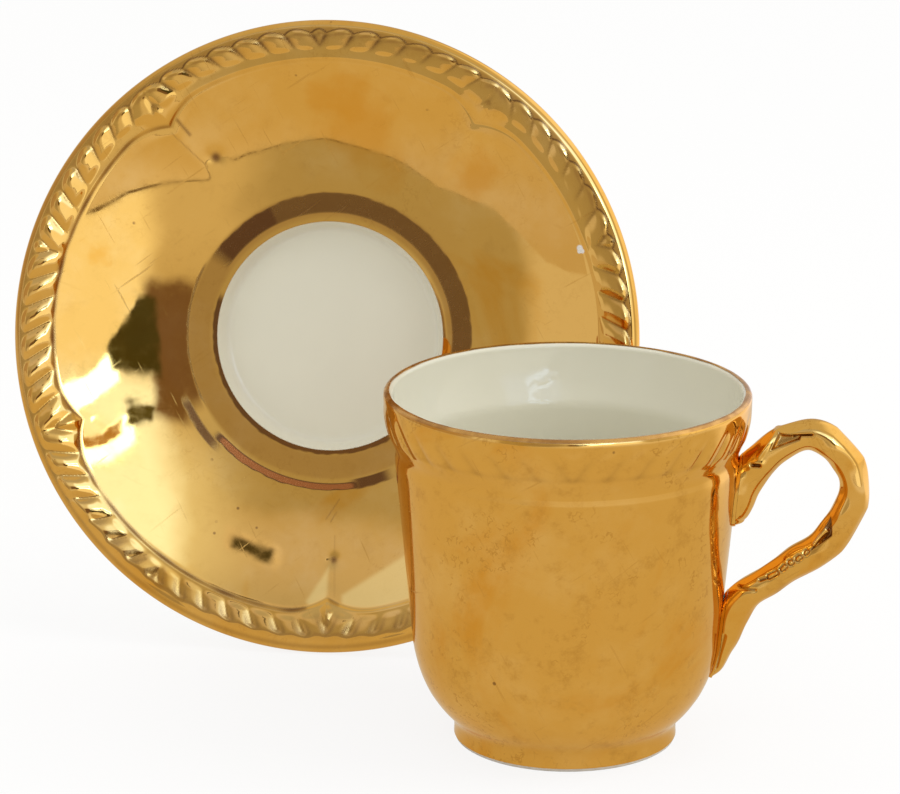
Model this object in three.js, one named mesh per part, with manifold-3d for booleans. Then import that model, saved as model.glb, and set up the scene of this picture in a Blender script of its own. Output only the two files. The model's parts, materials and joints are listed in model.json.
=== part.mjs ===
import * as THREE from "three";
import { mergeVertices } from "three/addons/utils/BufferGeometryUtils.js";
import Module from "manifold-3d";

// Demitasse cup standing in front of its saucer, which stands on its rim and leans back.
// Millimetres and degrees. +Z is up, +Y is away from the viewer, the handle points to +X.

// Cup outline, from the lip down to the foot
const CUP_HEIGHT = 61.7;
const MOUTH_RADIUS = 31;
const LIP_THICKNESS = 1.4;
const NECK_DROP = 10;
const NECK_RADIUS = 28.85;
const FLARE_RISE = 4.1;
const SHOULDER_STEP = 1.6;
const SHOULDER_RADIUS = 29.1;
const BELLY_HEIGHT = 17.5;
const BELLY_RADIUS = 26.1;
const HAUNCH_HEIGHT = 8.4;
const HAUNCH_INSET = 0.5;
const WAIST_RADIUS = 19;
const FOOT_HEIGHT = 3.7;
const FOOT_RADIUS = 19.1;
const FOOT_BEVEL = 0.4;
const FOOT_RING_WIDTH = 3;

// Cup inside
const CUP_WALL = 2.2;
const CUP_FLOOR = 3;
const CUP_FLOOR_RADIUS = 12;

// Handle, measured to its middle line
const HANDLE_TURN = -6;
const HANDLE_STANDOFF = 20;
const HANDLE_CREST_DROP = 6.5;
const HANDLE_TIP_HEIGHT = 11.5;
const HANDLE_DEPTH = 5.6;
const HANDLE_WIDTH = 5.8;
const SLIP_THICKNESS = 0.6;
const SEAT_GAP = 0.1;

// Saucer outline, lying flat on its foot
const SAUCER_RADIUS = 57.8;
const SAUCER_HEIGHT = 16;
const RIM_THICKNESS = 2;
const RIM_DROP = 1.2;
const CREST_INSET = 3.5;
const BORDER_WIDTH = 7;
const BORDER_STEP = 0.8;
const BORDER_DROP = 1;
const WELL_RADIUS = 19.8;
const WELL_DEPTH = 3.4;
const WELL_EDGE = 1.3;
const LEDGE_HEIGHT = 7.8;
const LEDGE_WIDTH = 5.4;
const COVE_WIDTH = 2.3;
const COVE_RISE = 0.4;
const SAUCER_WALL = 2.8;
const SAUCER_FOOT_RADIUS = 25.4;
const SAUCER_FOOT_WIDTH = 2.4;
const SAUCER_FOOT_HEIGHT = 2.2;

// Lobed inner edge of the saucer's border
const LOBES = 5;
const CUSP_ANGLE = 56.4;
const CUSP_SPREAD = 10;
const CUSP_REACH = 2.6;

// Gilding
const FILM = 0.2;
const FILM_GAP = 0.02;
const FOOT_BARE = 0.6;
const LIP_GILT_ARC = 110;

// Arrangement: the middle of the saucer's rim, left of the cup's axis and behind its mouth
const SAUCER_LEFT = 43;
const SAUCER_BEHIND = 22;
const SAUCER_LEAN = 12.7;
const SAUCER_YAW = 8.14;

// Facets
const CUP_SIDES = 40;
const SAUCER_SIDES = 60;
const CURVE_STEPS = 5;
const HANDLE_SIDES = 10;
const HANDLE_STEPS = 44;

const wasm = await Module();
wasm.setup();

const rad = THREE.MathUtils.degToRad;
const coat = FILM + FILM_GAP;

// A ring of points about Z; a ring of no radius is a single pole.
function ring(radius, z, sides, start = 0, shape = (angle) => radius) {
  if (radius === 0) {
    return [new THREE.Vector3(0, 0, z)];
  }
  return Array.from({ length: sides }, (_, k) => {
    const angle = start + (2 * Math.PI * k) / sides;
    const r = shape(angle);
    return new THREE.Vector3(r * Math.cos(angle), r * Math.sin(angle), z);
  });
}

// Closed body over a row of rings. A loop joins the last ring to the first. Facets are split
// the same way whichever way the row runs, so two faces that follow each other stay parallel.
function ringBody(rings, loop) {
  const positions = [];
  const starts = [];
  for (const points of rings) {
    starts.push(positions.length / 3);
    points.forEach((p) => positions.push(p.x, p.y, p.z));
  }
  const index = [];
  const spans = loop ? rings.length : rings.length - 1;
  for (let i = 0; i < spans; i += 1) {
    const j = (i + 1) % rings.length;
    const low = rings[i].length;
    const high = rings[j].length;
    const sides = Math.max(low, high);
    const inward = Math.hypot(rings[i][0].x, rings[i][0].y) > Math.hypot(rings[j][0].x, rings[j][0].y);
    for (let k = 0; k < sides; k += 1) {
      const n = (k + 1) % sides;
      const a = starts[i] + (k % low);
      const b = starts[i] + (n % low);
      const c = starts[j] + (n % high);
      const d = starts[j] + (k % high);
      const corners = inward ? [[a, b, d], [b, c, d]] : [[a, b, c], [a, c, d]];
      if (low > 1) {
        index.push(...corners[0]);
      }
      if (high > 1) {
        index.push(...corners[1]);
      }
    }
  }
  const geometry = new THREE.BufferGeometry();
  geometry.setAttribute("position", new THREE.Float32BufferAttribute(positions, 3));
  geometry.setIndex(index);
  geometry.computeVertexNormals();
  return geometry;
}

const turned = (profile, loop) =>
  ringBody(profile.map((p) => ring(Math.max(0, p.x), p.y, CUP_SIDES)), loop);

function toSolid(geometry) {
  const plain = geometry.clone();
  plain.deleteAttribute("normal");
  plain.deleteAttribute("uv");
  const merged = mergeVertices(plain);
  const mesh = new wasm.Mesh({
    numProp: 3,
    vertProperties: new Float32Array(merged.attributes.position.array),
    triVerts: new Uint32Array(merged.index.array),
  });
  return new wasm.Manifold(mesh);
}

function fromSolid(solid) {
  const mesh = solid.getMesh();
  const geometry = new THREE.BufferGeometry();
  geometry.setAttribute("position", new THREE.BufferAttribute(new Float32Array(mesh.vertProperties), 3));
  geometry.setIndex(new THREE.BufferAttribute(new Uint32Array(mesh.triVerts), 1));
  geometry.computeVertexNormals();
  return geometry;
}

// Outer wall of the cup from the waist to the start of the rounded lip
const lipRadius = LIP_THICKNESS / 2;
const lipStart = CUP_HEIGHT - lipRadius;
const neckHeight = CUP_HEIGHT - NECK_DROP;
const shoulderHeight = neckHeight - SHOULDER_STEP;
const wallTaper = (SHOULDER_RADIUS - BELLY_RADIUS) / (shoulderHeight - BELLY_HEIGHT);
const wallLine = (z) => BELLY_RADIUS + wallTaper * (z - BELLY_HEIGHT);
const wallPath = new THREE.Path();
wallPath.moveTo(WAIST_RADIUS, FOOT_HEIGHT);
const haunchRadius = wallLine(HAUNCH_HEIGHT) - HAUNCH_INSET;
wallPath.quadraticCurveTo(haunchRadius, HAUNCH_HEIGHT, BELLY_RADIUS, BELLY_HEIGHT);
wallPath.lineTo(SHOULDER_RADIUS, shoulderHeight);
wallPath.lineTo(NECK_RADIUS, neckHeight);
wallPath.quadraticCurveTo(MOUTH_RADIUS, neckHeight + FLARE_RISE, MOUTH_RADIUS, lipStart);
const wallPoints = wallPath.getPoints(CURVE_STEPS);
const wallAt = (out) => wallPoints.map((p) => new THREE.Vector2(p.x + out, p.y));

// Rounded lip, from its outer side over the crest
function lipArc(radius, arc) {
  return Array.from({ length: CURVE_STEPS + 1 }, (_, k) => {
    const angle = rad((arc * k) / CURVE_STEPS);
    const x = MOUTH_RADIUS - lipRadius + radius * Math.cos(angle);
    return new THREE.Vector2(x, lipStart + radius * Math.sin(angle));
  });
}

// Inside of the bowl, from the neck down to the floor
const floorHeight = FOOT_HEIGHT + CUP_FLOOR;
const insidePath = new THREE.Path();
insidePath.moveTo(NECK_RADIUS - CUP_WALL, neckHeight);
insidePath.lineTo(BELLY_RADIUS - CUP_WALL, BELLY_HEIGHT);
insidePath.quadraticCurveTo(wallLine(floorHeight) - CUP_WALL, floorHeight, CUP_FLOOR_RADIUS, floorHeight);

const bowl = turned([
  new THREE.Vector2(0, FOOT_HEIGHT),
  ...wallAt(-coat),
  ...lipArc(lipRadius - coat, 180).slice(1),
  ...insidePath.getPoints(CURVE_STEPS),
  new THREE.Vector2(0, floorHeight),
], false);

// Foot ring under the bowl
const footInner = FOOT_RADIUS - FOOT_RING_WIDTH;
const footRing = turned([
  new THREE.Vector2(footInner, 0),
  new THREE.Vector2(FOOT_RADIUS - FOOT_BEVEL - coat, 0),
  new THREE.Vector2(FOOT_RADIUS - coat, FOOT_BEVEL),
  new THREE.Vector2(WAIST_RADIUS - coat, FOOT_HEIGHT),
  new THREE.Vector2(footInner, FOOT_HEIGHT),
], true);

// Gilding on the foot and the wall, with the foot's lowest edge left bare
const bareShare = (FOOT_BARE - FOOT_BEVEL) / (FOOT_HEIGHT - FOOT_BEVEL);
const bareRadius = THREE.MathUtils.lerp(FOOT_RADIUS, WAIST_RADIUS, bareShare);
function gildedSide(out) {
  const side = [new THREE.Vector2(bareRadius + out, FOOT_BARE), ...wallAt(out)];
  side[side.length - 1].y -= FILM_GAP;
  return side;
}
const cupGilding = turned([...gildedSide(0), ...gildedSide(-FILM).reverse()], true);

// Gilded line over the lip
const lipGilding = turned([
  ...lipArc(lipRadius, LIP_GILT_ARC),
  ...lipArc(lipRadius - FILM, LIP_GILT_ARC).reverse(),
], true);

// Handle stations from inside the upper wall to the lower tip: share of the stand-off,
// share of the height between tip and crest, share of the depth, share of the width.
const stations = [
  [-0.12, 0.62, 1.16, 1.8],
  [0.045, 0.783, 1.16, 1.5],
  [0.19, 0.886, 1.08, 1.1],
  [0.37, 0.972, 1, 1],
  [0.59, 0.998, 1, 1],
  [0.815, 0.95, 1, 1],
  [0.955, 0.87, 0.95, 1],
  [1, 0.775, 0.95, 1],
  [0.965, 0.67, 1.05, 1],
  [0.845, 0.58, 1.05, 1],
  [0.62, 0.487, 1, 1],
  [0.39, 0.41, 0.9, 1],
  [0.215, 0.335, 0.82, 1.1],
  [0.125, 0.245, 0.78, 1.2],
  [0.05, 0.13, 0.7, 1.1],
  [0.005, 0.04, 0.5, 0.8],
  [-0.03, 0, 0.15, 0.3],
];
const crestHeight = CUP_HEIGHT - HANDLE_CREST_DROP;
const middleLine = new THREE.CatmullRomCurve3(stations.map(([out, up]) => {
  const z = THREE.MathUtils.lerp(HANDLE_TIP_HEIGHT, crestHeight, up);
  return new THREE.Vector3(wallLine(z) + out * HANDLE_STANDOFF, 0, z);
}));
const girth = new THREE.CatmullRomCurve3(stations.map(([, , depth, width]) =>
  new THREE.Vector3((depth * HANDLE_DEPTH) / 2, (width * HANDLE_WIDTH) / 2, 0)));

// Section of the handle across its middle line
function handleRing(t) {
  const middle = middleLine.getPoint(t);
  const along = middleLine.getTangent(t);
  const half = girth.getPoint(t);
  return Array.from({ length: HANDLE_SIDES }, (_, k) => {
    const angle = (2 * Math.PI * (k + 0.5)) / HANDLE_SIDES;
    const deep = half.x * Math.cos(angle);
    return new THREE.Vector3(
      middle.x + along.z * deep,
      half.y * Math.sin(angle),
      middle.z - along.x * deep,
    );
  });
}
const handleRings = Array.from({ length: HANDLE_STEPS + 1 }, (_, k) => handleRing(k / HANDLE_STEPS));
const branch = toSolid(ringBody(
  [[middleLine.getPoint(0)], ...handleRings, [middleLine.getPoint(1)]],
  false,
).rotateZ(rad(HANDLE_TURN)));

// The handle is cut to the wall, with a layer of slip between at each end.
const cupSpace = (out) => toSolid(turned([
  new THREE.Vector2(0, FOOT_HEIGHT),
  ...wallAt(out),
  new THREE.Vector2(0, lipStart),
], false));
const span = MOUTH_RADIUS + HANDLE_STANDOFF + HANDLE_DEPTH;
const upperHalf = toSolid(new THREE.BoxGeometry(2 * span, 2 * span, 2 * span)
  .translate(0, 0, span + (HANDLE_TIP_HEIGHT + crestHeight) / 2));
const handle = branch.subtract(cupSpace(SLIP_THICKNESS + 2 * SEAT_GAP));
const slip = branch.intersect(cupSpace(SLIP_THICKNESS + SEAT_GAP)).subtract(cupSpace(SEAT_GAP));

// Saucer: distance in from the nearest cusp sets how far the border's inner edge is drawn in.
const lobePitch = (2 * Math.PI) / LOBES;
function cuspPull(angle) {
  const turns = (angle - rad(CUSP_ANGLE)) / lobePitch;
  const off = Math.abs(turns - Math.round(turns)) * lobePitch;
  return Math.max(0, 1 - off / rad(CUSP_SPREAD)) ** 2;
}
function saucerRing([radius, z, lobed = 0]) {
  const shape = (angle) => radius - lobed * CUSP_REACH * cuspPull(angle);
  return ring(radius, z, SAUCER_SIDES, rad(CUSP_ANGLE), shape);
}
const saucerBody = (profile, loop) => ringBody(profile.map(saucerRing), loop);

const ledgeInner = WELL_RADIUS + WELL_EDGE;
const ledgeOuter = ledgeInner + LEDGE_WIDTH;
const coveRadius = ledgeOuter + COVE_WIDTH;
const borderRadius = SAUCER_RADIUS - BORDER_WIDTH;
const rimHeight = SAUCER_HEIGHT - RIM_DROP;
const borderHeight = SAUCER_HEIGHT - BORDER_DROP;
const flangeTop = borderHeight - BORDER_STEP;
const coveHeight = LEDGE_HEIGHT + COVE_RISE;
const wellHeight = LEDGE_HEIGHT - WELL_DEPTH;
const rimCrestRadius = SAUCER_RADIUS - RIM_THICKNESS / 4;

// Gilded face from the ledge round the well to the crest of the rim
const gildedFace = [
  [ledgeInner, LEDGE_HEIGHT],
  [ledgeOuter, LEDGE_HEIGHT],
  [ledgeOuter + COVE_WIDTH / 2, LEDGE_HEIGHT + COVE_RISE / 3],
  [coveRadius, coveHeight],
  [borderRadius - BORDER_STEP, flangeTop, 1],
  [borderRadius, borderHeight, 1],
  [SAUCER_RADIUS - CREST_INSET, SAUCER_HEIGHT],
  [rimCrestRadius, rimHeight],
];
const lowered = (drop) => gildedFace.map(([r, z, lobed]) => [r, z - drop, lobed]);
const saucerGilding = saucerBody([...lowered(FILM), ...gildedFace.slice().reverse()], true);

// Porcelain from the middle of the underside round the rim to the middle of the well
const flangeUnder = coveHeight - SAUCER_WALL;
const saucer = saucerBody([
  [0, SAUCER_FOOT_HEIGHT],
  [SAUCER_FOOT_RADIUS - SAUCER_FOOT_WIDTH, SAUCER_FOOT_HEIGHT],
  [SAUCER_FOOT_RADIUS - SAUCER_FOOT_WIDTH, 0],
  [SAUCER_FOOT_RADIUS, 0],
  [SAUCER_FOOT_RADIUS, SAUCER_FOOT_HEIGHT],
  [coveRadius + SAUCER_WALL, flangeUnder],
  [borderRadius, flangeTop - SAUCER_WALL],
  [SAUCER_RADIUS - RIM_THICKNESS / 2, rimHeight - RIM_THICKNESS],
  [SAUCER_RADIUS, rimHeight - RIM_THICKNESS / 2],
  ...lowered(coat).reverse(),
  [ledgeInner - FILM_GAP, LEDGE_HEIGHT],
  [WELL_RADIUS, wellHeight],
  [0, wellHeight],
], false);

// Finishes: white glaze, worn bright gilding, and the redder gilding of the lip
const glaze = () => new THREE.MeshStandardMaterial({ color: 0xdcd6c8, roughness: 0.15, metalness: 0 });
const gilt = () => new THREE.MeshStandardMaterial({ color: 0xc8963f, roughness: 0.1, metalness: 1 });
const lipGilt = () => new THREE.MeshStandardMaterial({ color: 0xb98350, roughness: 0.2, metalness: 1 });

function named(name, geometry, material) {
  const mesh = new THREE.Mesh(geometry, material);
  mesh.name = name;
  return mesh;
}

const cupGroup = new THREE.Group();
cupGroup.name = "cup";
cupGroup.add(
  named("cup_bowl", bowl, glaze()),
  named("cup_foot_ring", footRing, glaze()),
  named("cup_gilding", cupGilding, gilt()),
  named("lip_gilding", lipGilding, lipGilt()),
  named("cup_handle", fromSolid(handle), gilt()),
  named("handle_upper_slip", fromSolid(slip.intersect(upperHalf)), gilt()),
  named("handle_lower_slip", fromSolid(slip.subtract(upperHalf)), gilt()),
);

const saucerGroup = new THREE.Group();
saucerGroup.name = "saucer";
saucerGroup.add(
  named("saucer_body", saucer, glaze()),
  named("saucer_gilding", saucerGilding, gilt()),
);

// The saucer stands on its rim: its face leans back and is turned a little to the left.
saucerGroup.rotation.set(rad(90 - SAUCER_LEAN), 0, rad(-SAUCER_YAW), "ZYX");
const facing = new THREE.Vector3(0, 0, 1).applyEuler(saucerGroup.rotation);
saucerGroup.position.set(-SAUCER_LEFT, MOUTH_RADIUS + SAUCER_BEHIND, 0).addScaledVector(facing, -rimHeight);
saucerGroup.updateMatrixWorld(true);
saucerGroup.position.z -= new THREE.Box3().setFromObject(saucerGroup, true).min.z;

// The origin is the middle of the pair's footprint, on the table.
const pair = new THREE.Group();
pair.add(cupGroup, saucerGroup);
pair.updateMatrixWorld(true);
const extent = new THREE.Box3().setFromObject(pair, true);
pair.position.set(-(extent.min.x + extent.max.x) / 2, -(extent.min.y + extent.max.y) / 2, 0);
pair.name = "pair";

const part = new THREE.Group();
part.name = "demitasse_cup_and_saucer";
part.add(pair);

export default part;
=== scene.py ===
"""Looks of a gilt demitasse cup and saucer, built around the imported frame.

Sizes are millimetres and degrees here. A mesh becomes metres when it is made.
"""

import json
import math

import bmesh
import bpy
import numpy as np
from mathutils import Matrix, Vector


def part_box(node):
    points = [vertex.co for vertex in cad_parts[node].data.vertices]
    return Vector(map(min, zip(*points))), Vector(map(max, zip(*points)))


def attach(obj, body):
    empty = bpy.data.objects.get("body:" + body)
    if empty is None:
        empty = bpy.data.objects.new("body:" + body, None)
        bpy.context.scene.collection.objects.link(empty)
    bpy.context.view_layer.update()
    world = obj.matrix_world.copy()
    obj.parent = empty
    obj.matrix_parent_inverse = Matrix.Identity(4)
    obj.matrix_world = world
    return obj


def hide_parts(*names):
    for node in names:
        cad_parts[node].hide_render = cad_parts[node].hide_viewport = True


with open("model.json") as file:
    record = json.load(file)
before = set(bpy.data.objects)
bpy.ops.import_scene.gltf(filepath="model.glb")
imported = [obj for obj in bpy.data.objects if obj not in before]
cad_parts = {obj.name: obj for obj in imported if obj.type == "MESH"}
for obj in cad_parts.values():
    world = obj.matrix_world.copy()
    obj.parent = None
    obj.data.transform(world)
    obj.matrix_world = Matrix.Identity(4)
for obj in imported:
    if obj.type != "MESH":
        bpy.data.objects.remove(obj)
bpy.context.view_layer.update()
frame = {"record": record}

MM = 0.001

# Cup section
CUP_HEIGHT = 61.7
MOUTH_RADIUS = 31.0
LIP_RADIUS = 0.7
LIP_LINE_START = 34.0
LIP_LINE_END = 99.0
NECK_HEIGHT = 51.7
NECK_RADIUS = 28.85
FLARE_HEIGHT = 55.8
SHOULDER_HEIGHT = 50.1
SHOULDER_RADIUS = 29.1
BELLY_HEIGHT = 17.5
BELLY_RADIUS = 26.1
HAUNCH_HEIGHT = 8.4
HAUNCH_RADIUS = 24.8
WAIST_RADIUS = 19.0
FOOT_HEIGHT = 3.7
FOOT_RADIUS = 19.1
FOOT_RING_WIDTH = 3.0
CUP_WALL = 2.2
CUP_FLOOR_HEIGHT = 6.7
CUP_FLOOR_RADIUS = 12.0
LIP_HEIGHT = CUP_HEIGHT - LIP_RADIUS
# The bowl ends inside its gold and just above the foot ring
BOWL_INSET = 0.32
FOOT_GAP = 0.05
# Gold outside the cup: how far it stands out, thickness and lower edge
CUP_SKIN = 0.22
CUP_SKIN_THICKNESS = 0.4
CUP_SKIN_START = 0.65
# Film over the lip, and its edge's waves as times round, degrees and phase
LIP_FILM_IN = 0.03
LIP_FILM_OUT = 0.24
LIP_WANDER = ((3, 5, 0.4), (7, 4, 1.9), (13, 3, 4.1), (29, 2, 0.8))

# Fluted band under the lip
CUP_FLUTES = 36
CUP_FLUTE_RELIEF = 0.32
CUP_FLUTE_LEAN = 1.3
BAND_LOW = 54.2
BAND_HIGH = 60.4

# Handle
HANDLE_TURN = -6.0
HANDLE_STANDOFF = 20.0
HANDLE_CREST = 55.2
HANDLE_TIP = 11.5
HANDLE_DEPTH = 5.6
HANDLE_WIDTH = 5.8
# Layers of slip between the handle and the wall
SLIP_THICKNESS = 0.6
SLIP_GAP = 0.03
SLIP_COLLAR = 0.35
SLIP_REACH = 0.3 * HANDLE_STANDOFF
UPPER_SLIP_SPAN = (38, 54)
LOWER_SLIP_SPAN = (10, 27.5)
# Share out from the wall, share of the height, depth and width of the section
HANDLE_STATIONS = [
    [-0.06, 0.64, 0.75, 0.8],
    [-0.055, 0.652, 1.1, 1.02],
    [-0.045, 0.675, 1.2, 1.1],
    [0.0, 0.73, 1.2, 1.15],
    [0.045, 0.783, 1.16, 1.15],
    [0.19, 0.886, 1.08, 1.05],
    [0.37, 0.972, 1, 1],
    [0.59, 0.998, 1, 1],
    [0.815, 0.95, 1, 1],
    [0.955, 0.87, 0.95, 1],
    [1, 0.775, 0.95, 1],
    [0.965, 0.67, 1.05, 1],
    [0.845, 0.58, 1.05, 1],
    [0.62, 0.487, 1, 1],
    [0.39, 0.41, 0.9, 0.98],
    [0.2, 0.34, 0.98, 0.98],
    [0.1, 0.25, 1.02, 1.0],
    [0.045, 0.13, 0.72, 0.95],
    [0.005, 0.04, 0.5, 0.75],
    [-0.03, 0, 0.15, 0.3],
]
FACET_ROUNDING = 21
# Corners of the loop's outside, with flats between them
HANDLE_CORNERS = ((35.1, 57.2), (45.7, 56.8), (50.2, 51.3), (51.4, 42.7), (46.5, 35.0))
FLAT_DEPTH = 0.9
# Unevenness of hand work: size, length, twist and phase of each wave
HAND_WAVES = ((0.16, 1.9, 0.02, 0.3), (0.07, 1.1, -0.035, 1.9))
# Marks on both faces of the handle, as places in the plane of its loop
BUD_RIDGE = ((35.9, 56.8), (32.7, 51.7))
BUD_HOLLOW = ((35.7, 55.9), (34.6, 53.0), (39.4, 54.9), (39.6, 55.8))
BUD_CRACK = ((38.2, 55.7), (41.4, 55.9))
DIMPLE = ((31.5, 50.3), (32.7, 50.3))
TONGUE = ((29.0, 48.0), (28.6, 45.4))
PAD_RIDGE = ((28.7, 45.0), (28.9, 41.0))
LEAF = ((44.95, 41.0), (41.75, 35.5), (45.1, 38.2))
LEAF_BLADE = ((44.1, 39.0), (42.3, 36.4))
BEAD_LINE = ((33.1, 29.8), (34.3, 30.3))
KNUCKLE = ((29.7, 28.2), (32.4, 28.1))
TERMINAL_LINE = ((27.3, 19.5), (26.1, 13.8))
# Start, end and radius of each bead
BEADS = (
    ((34.7, 30.5), (35.9, 31.2), 0.4),
    ((36.9, 31.9), (37.4, 32.4), 0.34),
    ((38.3, 33.1), (38.5, 33.2), 0.42),
    ((39.5, 33.8), (39.9, 34.2), 0.36),
    ((40.8, 34.9), (41.0, 35.2), 0.3),
)
# Height and width of each ridge
RIDGES = ((BUD_RIDGE, 0.3, 0.35), (TONGUE, 0.28, 1.1), (PAD_RIDGE, 0.22, 0.5), (DIMPLE, 0.4, 1.0))
# Depth and tone of each hollow; the tone is painted shade in it and along its edge
HOLLOWS = ((BUD_HOLLOW, 0.7, 0.5), (LEAF, 0.9, 0.95))
# Depth, width and tone of each groove; the tone is painted shade in it
GROOVES = (
    (BUD_CRACK, 0.5, 0.2, 0.95),
    (DIMPLE, 0.7, 0.3, 0.95),
    (BEAD_LINE, 0.35, 0.25, 0.8),
    (KNUCKLE, 0.3, 0.3, 0.6),
    (TERMINAL_LINE, 0.3, 0.35, 0.4),
)

# Saucer section, lying flat on its foot
SAUCER_RADIUS = 57.8
WELL_HEIGHT = 4.4
WELL_RADIUS = 19.7
LEDGE_RADIUS = 21.1
LEDGE_HEIGHT = 7.85
FLANGE_START = 28.7
FLANGE_START_HEIGHT = 8.25
FLANGE_END = 50.0
FLANGE_END_HEIGHT = 14.2
FLANGE_START_SLOPE = 10.0
FLANGE_BEND = 0.00484
BORDER_RADIUS = 50.8
# Shallow ring between the well and the flange
COVE = ((21.9, 7.74), (22.8, 7.69), (24.5, 7.71), (26.3, 7.83), (26.7, 7.89), (27.7, 8.07))
# Bed of the flutes and rolled rim, as far as the widest place and then down
RIM_TOP = ((54.8, 15.4), (56.1, 15.5), (56.7, 15.45), (57.3, 15.1), (57.65, 14.6), (SAUCER_RADIUS, 14.0))
RIM_UNDER = ((57.6, 13.4), (57.1, 12.9), (56.4, 12.5), (55.4, 12.2))
RIM_CREST = 56.6
RIM_TURN_HEIGHT = 13.5
# Hidden side of the rim's gold
RIM_BACK = (
    (55.4, 12.4), (56.5, 12.8), (57.1, 13.4), (57.1, 14.0), (56.0, 14.2), (51.0, 13.9), (49.8, 13.8),
)
SAUCER_SKIN_THICKNESS = 0.22
SAUCER_WARE_INSET = 0.5
SAUCER_FOOT_RADIUS = 25.4
SAUCER_FOOT_WIDTH = 2.4
SAUCER_FOOT_HEIGHT = 2.2

# Lobes and flutes of the saucer's border
LOBES = 5
LOBE_ANGLE = 360 / LOBES
CUSP_ANGLE = 56.4
CUSP_SPREAD = 10.0
CUSP_REACH = 2.6
# Radii where a cusp's pull begins and is fullest
PULL_START = 43.0
PULL_FULL = 50.4
# Soft fold below each cusp, and the radii where it begins, is fullest and fades
FOLD_RELIEF = 0.2
FOLD_WIDTH = 6.0
FOLD_START = 30.0
FOLD_FULL = 44.0
FOLD_FADE = 48.0
# Small knots in the flange, with painted shade in each: radius, angle, size and tone
KNOTS = ((38.8, 124.0, 1.45, 0.9), (41.0, 273.5, 1.2, 0.8))
KNOT_DEPTH = 0.14
# Painted highlight on facets on either side of the lowest cusp
BRIGHT_FACETS = (
    ((2.2, -40.4), (-2.6, -48.4), (-1.7, -50.4), (2.5, -49.0)),
    ((4.0, -46.8), (4.0, -50.8), (24.0, -50.0), (22.0, -34.5)),
)
# Brown painted shade in creases below the upper left cusp and above the lowest one: start, end, width
# and tone
SHADED_CREASES = (
    ((-28.5, 38.8), (-26.3, 36.2), 0.4, 0.6),
    ((-29.6, 36.4), (-23.2, 30.4), 0.2, 0.4),
    ((2.4, -36.5), (3.2, -47.4), 0.2, 0.3),
    ((0.6, -33.6), (2.8, -30.0), 0.14, 0.5),
    ((1.4, -34.2), (2.4, -32.4), 0.14, 0.5),
)
FLUTES_PER_LOBE = 14
FLUTE_RELIEF = 0.68
FLUTE_LEAN = 0.6
FLUTE_MIDDLE = 53.0
FLUTE_OUTER = 56.0
# Sides where the border differs: direction, and the cosines off it where that begins and is full
LOW_FOLD_SIDE = (236, 0.55, 0.8)
DARK_CREASE_SIDE = (205, -0.2, 0.5)
FILLED_SIDE = (272, 0.4, 0.8)
SHORT_FLUTE_SIDE = (80, -0.2, 0.4)
LATE_FLUTE_SIDE = (88, 0.1, 0.75)
RUBBED_SIDE = (66, 0.1, 0.8)
# The next three sides set painted shade at the flutes' ends, in the bed and in the grooves
DARK_END_SIDE = (60, -0.2, 0.5)
SHADED_BED_SIDE = (50, 0.1, 0.7)
DARK_GROOVE_SIDE = (115, 0.6, 0.9)
# Side where the rim's crest is darker
DARK_RIM_SIDE = (200, -0.7, 0.3)
# Painted reflections in arcs round the well, dark brown and at the bottom pinkish: inner and outer
# radius, from and to angle, tone
RING_REFLECTIONS = (
    (22.8, 26.3, -26, 150, 0.74),
    (22.9, 26.2, 113, 148, 1.0),
    (21.0, 21.9, 160, 306, 0.95),
    (27.3, 28.4, 222, 284, 2.0),
    (28.8, 30.2, 203, 228, 0.85),
    (26.7, 28.5, 279, 297, 1.0),
    (26.5, 26.8, 150, 212, 0.6),
)

# Fineness of the meshes, the ring at a turned body's axis and the gap that a cut leaves
CUP_SIDES = 576
SAUCER_SIDES = 1030
PLAIN_SIDES = 192
HANDLE_ROWS = 640
HANDLE_SIDES = 144
SLIP_SIDES = 72
POLE = 0.05
CUT_GAP = 0.015
# Angles above which an edge stays crisp
SHARP = 50
HANDLE_SHARP = 60

# Gold, what time has done to it, and the colours of the painted shade, reflections and highlight
GOLD = (0.776, 0.419, 0.081)
PALE_GOLD = (0.835, 0.495, 0.134)
STAIN = (0.729, 0.324, 0.0324)
DULL_GOLD = (0.567, 0.277, 0.0459)
# Painted highlight: pale gold where the tone is below 0
HIGHLIGHT_GOLD = (1.0, 0.68, 0.19)
# Painted reflection: pinkish gold where the tone is 2
PINK_REFLECTION = (0.50, 0.165, 0.04)
# Dark brown of specks of dirt, and of painted shade and painted dark reflections where the tone is up to
# 1
GRIME_AND_SHADE = (0.155, 0.057, 0.0185)
BARE_WARE = (0.80, 0.78, 0.72)
GRAZING_GOLD = (1.0, 0.93, 0.80)
LIP_RED = (0.46, 0.22, 0.06)
LIP_GOLD = (0.82, 0.46, 0.13)
LIP_GLAZE = (0.72, 0.67, 0.58)
# Stains and chips of the saucer's gold: place on the flat saucer, and radius
STAINS = ((4.5, 37.5, 6.5), (1.0, 44.0, 4.5), (27.5, 31.0, 4.5), (9.0, 30.5, 3.5), (-43.5, 14.0, 2.4))
STAIN_HEIGHT = 10.5
CHIPS = ((46.4, 17.9, 0.6), (46.9, 17.4, 0.5), (46.3, 17.3, 0.4))
CHIP_HEIGHT = 13.9

# Porcelain
GLAZE = (0.755, 0.735, 0.605)
GLAZE_GLOSS = (1.0, 0.82, 0.52)
PIN_HOLE = (0.22, 0.18, 0.13)
BISQUE_DARK = (0.60, 0.56, 0.50)
BISQUE_PALE = (0.68, 0.65, 0.59)

# Light of the room: even, and what the gold shows between the panels, low and high
ROOM_LIGHT = (0.915, 0.905, 0.885)
ROOM_LOW = (0.67, 0.66, 0.67)
ROOM_HIGH = (0.73, 0.72, 0.71)
WHITE = (1, 1, 1)

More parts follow.
